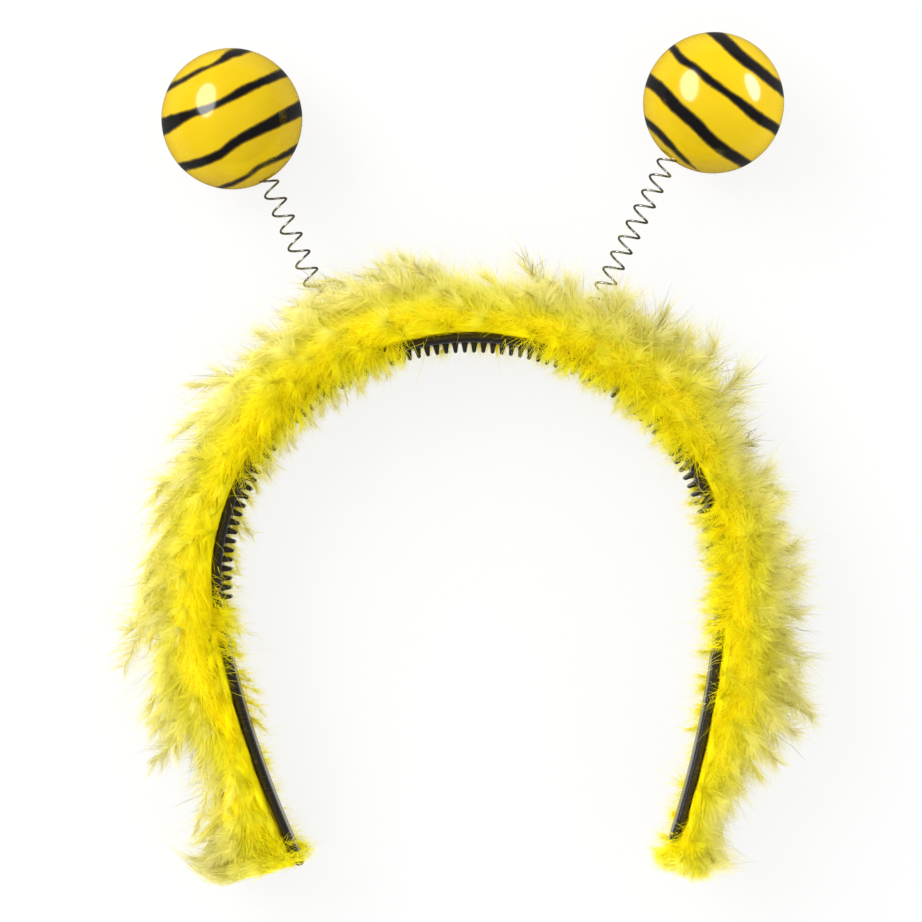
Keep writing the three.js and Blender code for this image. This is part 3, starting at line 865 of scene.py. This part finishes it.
# plumes: a bent stem each, wisps all round it that close in towards its tip, barbs along each wisp
def plumeBarbs(rng, root, middle, tip, tufts, tuftBarbs, lengths, tone, clinging=1.0):
    plume = np.repeat(np.arange(len(root)), tufts)
    step = np.tile(np.arange(tufts), len(root))
    at = 0.1 + 0.9 * ((step + rng.random(len(step))) / tufts) ** 0.75
    a, b, c = root[plume], middle[plume], tip[plume]
    forward = bendDirection(a, b, c, at)
    sideways = unit(np.cross(forward, rng.normal(size=forward.shape)))
    splay = np.radians(30 + 42 * (1 - at) ** 0.6) * rng.uniform(0.5, 1.2, len(at))
    length = (lengths[0] + (lengths[1] - lengths[0]) * (1 - at) ** 0.7) * rng.uniform(0.6, 1.15, len(at))
    leave = np.cos(splay)[:, None] * forward + np.sin(splay)[:, None] * sideways
    close = unit(leave + forward * 0.7 + rng.normal(size=forward.shape) * 0.25)
    cling = downRow(a[:, 0], "wispy") * clinging + rng.normal(size=len(at)) * 0.2
    cling = np.clip(cling * smooth(0.3, 0.8, at), 0.0, 0.95)

    wisp = np.repeat(np.arange(len(at)), tuftBarbs)
    total = len(wisp)
    barbAt = np.clip(at[wisp] + rng.normal(size=total) * 0.07, 0.02, 1)
    barbLength = length[wisp] * rng.uniform(0.55, 1.1, total)
    spread = rng.normal(size=(total, 3))
    loose = (1 - cling[wisp])[:, None]
    start = bend(root[plume[wisp]], middle[plume[wisp]], tip[plume[wisp]], barbAt)
    mid = (start + leave[wisp] * (barbLength * 0.5)[:, None]
           + spread * (0.13 * barbLength)[:, None] * (0.4 + loose))
    end = (mid + close[wisp] * (barbLength * 0.5)[:, None]
           + spread * (barbLength * 0.5)[:, None] * (0.55 * loose - 0.12)
           + rng.normal(size=(total, 3)) * 0.35)
    width = down["barbWidth"] * rng.uniform(0.6, 1.25, total)
    tuftTone = tone[plume] + rng.normal(size=len(at)) * 0.1
    shade = np.clip(tuftTone[wisp] + rng.normal(size=total) * 0.12, 0.02, 0.98)
    lift = (barbAt - 0.5) * 0.16 + rng.normal(size=len(root))[plume[wisp]] * 0.05
    return barbs(rng, np.stack([start, mid, end], 1), width, shade, lift)


def outerPlumes(rng):
    count = down["plumes"]
    order = (np.arange(count) + rng.random(count)) / count
    along = (order * 2 - 1) * (downHalf - 0.5)
    angle = np.radians(((np.arange(count) * 0.618034) % 1 * 2 - 1) * 112 + rng.normal(size=count) * 6)
    near, far = downRow(along, "near"), downRow(along, "far")
    reach = near - 3 + (far - near + 1) * rng.random(count) ** 1.3 + 5 * rng.random(count) ** 6
    out = np.cos(angle)
    out = np.sign(out) * np.abs(out) ** 0.7
    sweep = downRow(along, "sweep") * rng.uniform(0.7, 1.3, count) * (0.35 + 0.65 * np.maximum(out, 0))
    sweep += rng.normal(size=count) * 3
    centre = near * 0.3
    tip = np.stack([along, centre + (reach - centre) * out,
                    (down["rise"] - 4) * np.sin(angle) * rng.uniform(0.72, 1.0, count)], 1)
    tip[:, 1] = np.maximum(tip[:, 1], 2.5)
    rootAlong = np.clip(along - sweep, -downHalf + 1, downHalf - 1)
    root = np.stack([rootAlong, centre * (1 + 0.3 * out), 2.5 * np.sin(angle)], 1)
    middle = root + (tip - root) * np.array([0.58, 0.5, 0.6]) + rng.normal(size=(count, 3)) * 1.5
    tone = np.clip(rng.normal(size=count) * 0.14 + 0.5, 0.1, 0.9)
    return plumeBarbs(rng, root, middle, tip, down["tufts"], down["tuftBarbs"], down["tuftLength"], tone)


# small plumes that bend over the band's edges: at the back wherever there are any inside the arch,
# in front only where the band is hidden
def hangingPlumes(rng):
    spots = np.linspace(-bandHalf + 2, bandHalf + 6, 4000)
    parts = []
    inFront = downRow(spots, "cover") ** 2.5
    behind = np.maximum(downRow(spots, "inside") - 1.5, 0)
    for face, weight in ((1.0, inFront), (-1.0, behind)):
        steps = np.cumsum(weight) / weight.sum()
        count = down["hanging"] // 2
        along = np.interp((np.arange(count) + rng.random(count)) / count, steps, spots)
        inside = downRow(along, "inside") * rng.uniform(0.0, 0.6, count)
        drift = rng.normal(size=count) * 2 + 0.25 * downRow(along, "sweep")
        root = np.stack([along - drift * 0.6, rng.uniform(3, 7, count), face * rng.uniform(3, 7, count)], 1)
        middle = np.stack([along - drift * 0.2, rng.uniform(-0.5, 2.5, count),
                           face * rng.uniform(7.5, 11, count)], 1)
        tip = np.stack([along + drift, -faceOut - inside, face * rng.uniform(4, 9, count)], 1)
        parts.append((root, middle, tip))
    root, middle, tip = (np.concatenate(each) for each in zip(*parts))
    tone = np.clip(rng.normal(size=len(root)) * 0.14 + 0.6, 0.1, 0.9)
    return plumeBarbs(rng, root, middle, tip, 9, 22, (3.5, 6), tone, 0.3)


# plumes that fan out of the boa's cut ends, on the left one only over its face
def endPlumes(rng, side):
    count = down["endPlumes"]
    out = rng.uniform(-1, 12, count)
    rise = rng.uniform(-13, 13, count)
    start, past = (3, (4, 8)) if side > 0 else (12, (-2, 0))
    root = np.stack([np.full(count, side * (ropeHalf - start)), 3 + out * 0.4, rise * 0.3], 1)
    tip = np.stack([side * (bandHalf + rng.uniform(*past, count)), out, rise], 1)
    middle = (root + tip) / 2 + rng.normal(size=(count, 3))
    tone = np.clip(rng.normal(size=count) * 0.14 + 0.55, 0.1, 0.9)
    return plumeBarbs(rng, root, middle, tip, 11, 30, (4, 8), tone, 0.3)


def rightEnd(rng):
    return endPlumes(rng, 1)


def leftEnd(rng):
    return endPlumes(rng, -1)


# where the backing's surface is, for arrays of distance along the band and angle round it
def ropeSurface(along, angle):
    size = downRow(along, "near") * down["rope"]
    fade = np.sqrt(np.clip(1 - np.abs(along / ropeHalf) ** 40, 0.0025, 1))
    out = faceOut + 0.25 + size / 2 * (1 + fade * np.cos(angle))
    rise = 12 * fade * np.sin(angle)
    return np.stack([along, out, rise], -1)


def undercoat(rng):
    count = down["undercoat"]
    along = rng.uniform(-ropeHalf, ropeHalf, count)
    angle = rng.uniform(-math.pi, math.pi, count)
    root = ropeSurface(along, angle)
    away = unit(np.stack([downRow(along, "sweep") / 14 * rng.uniform(0.3, 1.3, count),
                          np.cos(angle) * 1.1, np.sin(angle)], -1) + rng.normal(size=(count, 3)) * 0.35)
    length = rng.uniform(3, 8.5, count)
    shade = np.clip(rng.normal(size=count) * 0.2 + 0.45, 0.02, 0.98)
    width = down["barbWidth"] * rng.uniform(1.0, 1.8, count)
    spine = np.stack([root - away * 0.6, root + away * length[:, None]], 1)
    return barbs(rng, spine, width, shade, np.zeros(count))


# single long hairs that stand out of the boa, some of them across the band
def strays(rng):
    count = down["strays"]
    along = rng.uniform(-downHalf + 1, downHalf - 1, count)
    angle = np.radians(rng.uniform(-130, 130, count))
    far = downRow(along, "far")
    root = np.stack([along - downRow(along, "sweep") * 0.7, far * 0.35 + 0 * angle, 6 * np.sin(angle)], 1)
    reach = far * rng.uniform(0.9, 1.2, count)
    tip = np.stack([along + rng.normal(size=count) * 2, 5 + (reach - 5) * np.cos(angle),
                    (down["rise"] - 1) * np.sin(angle) * rng.uniform(0.7, 1.0, count)], 1)
    middle = (root + tip) / 2 + rng.normal(size=(count, 3)) * 1.8
    root[:, 0] = np.clip(root[:, 0], -downHalf + 1, downHalf - 1)
    shade = rng.uniform(0.3, 0.9, count)
    width = down["barbWidth"] * rng.uniform(0.5, 0.9, count)
    return barbs(rng, np.stack([root, middle, tip], 1), width, shade, np.full(count, 0.1))


def makeRope():
    stations = ropeHalf * np.sin(np.linspace(-math.pi / 2, math.pi / 2, 220))
    angles = np.arange(28) / 28 * 2 * math.pi
    along, angle = np.meshgrid(stations, angles, indexing="ij")
    grid = ropeSurface(along, angle)
    lumps = np.sin(along * 0.9 + 2.3 * np.sin(angle)) * np.cos(along * 0.37 + 3 * np.cos(angle))
    grid[..., 1] += lumps * 0.6 * (grid[..., 1] > 3)
    grid[..., 2] *= 1 + 0.05 * lumps
    grid[..., 0] *= np.where(grid[..., 0] < 0, 1 - down["leftGap"] / ropeHalf, 1)
    piece = addMesh("down_rope", toFrame(grid.reshape(-1, 3)), loftTriangles(220, 28), ropeMaterial)
    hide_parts("boa")
    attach(piece, "headband")


# each kind of barb is cut into sections along the band, and each section becomes one mesh; every
# barb's front is turned outwards
def makeDown():
    rng = np.random.default_rng(down["seed"])
    sections = [[] for i in range(down["sections"])]
    edges = None
    for kind in (outerPlumes, hangingPlumes, undercoat, strays, rightEnd, leftEnd):
        points, uv, corners = kind(rng)
        along = points[:, 0, 0]
        if edges is None:
            edges = np.quantile(along, np.arange(1, down["sections"]) / down["sections"])
        section = np.searchsorted(edges, along)
        places = toFrame(points)
        fronts = unit(np.cross(places[:, 1] - places[:, 0], places[:, 2] - places[:, 0]))
        normals = softNormals(points, fronts)
        triangles = np.where(np.sum(fronts * normals[:, 0], 1)[:, None, None] < 0, corners[:, ::-1], corners)
        for i, bodies in enumerate(sections):
            chosen = section == i
            first = np.arange(chosen.sum())[:, None, None] * points.shape[1]
            bodies.append([places[chosen].reshape(-1, 3), (first + triangles[chosen]).reshape(-1, 3),
                           uv[chosen].reshape(-1, 2), normals[chosen].reshape(-1, 3)])
        print("  ", kind.__name__, len(points), "barbs")
    for i, bodies in enumerate(sections):
        points, triangles = joinBodies([body[:2] for body in bodies])
        uv, normals = (np.concatenate([body[j] for body in bodies]) for j in (2, 3))
        piece = addMesh(f"down_{i + 1}", points, triangles, downMaterial, uv, normals)
        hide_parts("boa")
        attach(piece, "headband")
        topLit.objects.link(piece)
        print("  ", piece.name, len(triangles), "triangles")


makeRope()
makeDown()
print("down made")


# how much of the floor's paper and glow lights the down, shows in gloss, and shows in the picture,
# where it just reaches white
table = {"size": 6, "paper": (1.0, 0.07, 0.15), "glow": (0.38, 0.03, 0.8)}


def makeFloor():
    material, tree, shader = newMaterial("light_table", **{"Roughness": 0.6, "Specular IOR Level": 0.0})
    where = addNode(tree, "TexCoord").outputs["Object"]
    paper = addNode(tree, "TexNoise", {"Vector": where, "Scale": 300, "Detail": 2})
    rays = addNode(tree, "LightPath").outputs
    pale = ramp(tree, paper.outputs["Fac"], [(0.3, (0.93, 0.93, 0.93)), (0.7, (0.95, 0.95, 0.95))])
    shares = []
    for light, gloss, picture in (table["paper"], table["glow"]):
        share = math1(tree, "MULTIPLY_ADD", rays["Is Glossy Ray"], gloss - light, light)
        shares.append(math1(tree, "MULTIPLY_ADD", rays["Is Camera Ray"], picture - light, share))
    shown = addNode(tree, "VectorMath", {0: pale, "Scale": shares[0]}, operation="SCALE")
    tree.links.new(shown.outputs[0], shader.inputs["Base Color"])
    shader.inputs["Emission Color"].default_value = (1, 1, 1, 1)
    tree.links.new(shares[1], shader.inputs["Emission Strength"])
    bpy.ops.mesh.primitive_plane_add(size=table["size"], location=(0, 0, -0.0001))
    floor = bpy.context.object
    floor.name = "floor"
    floor.data.materials.append(material)


makeFloor()
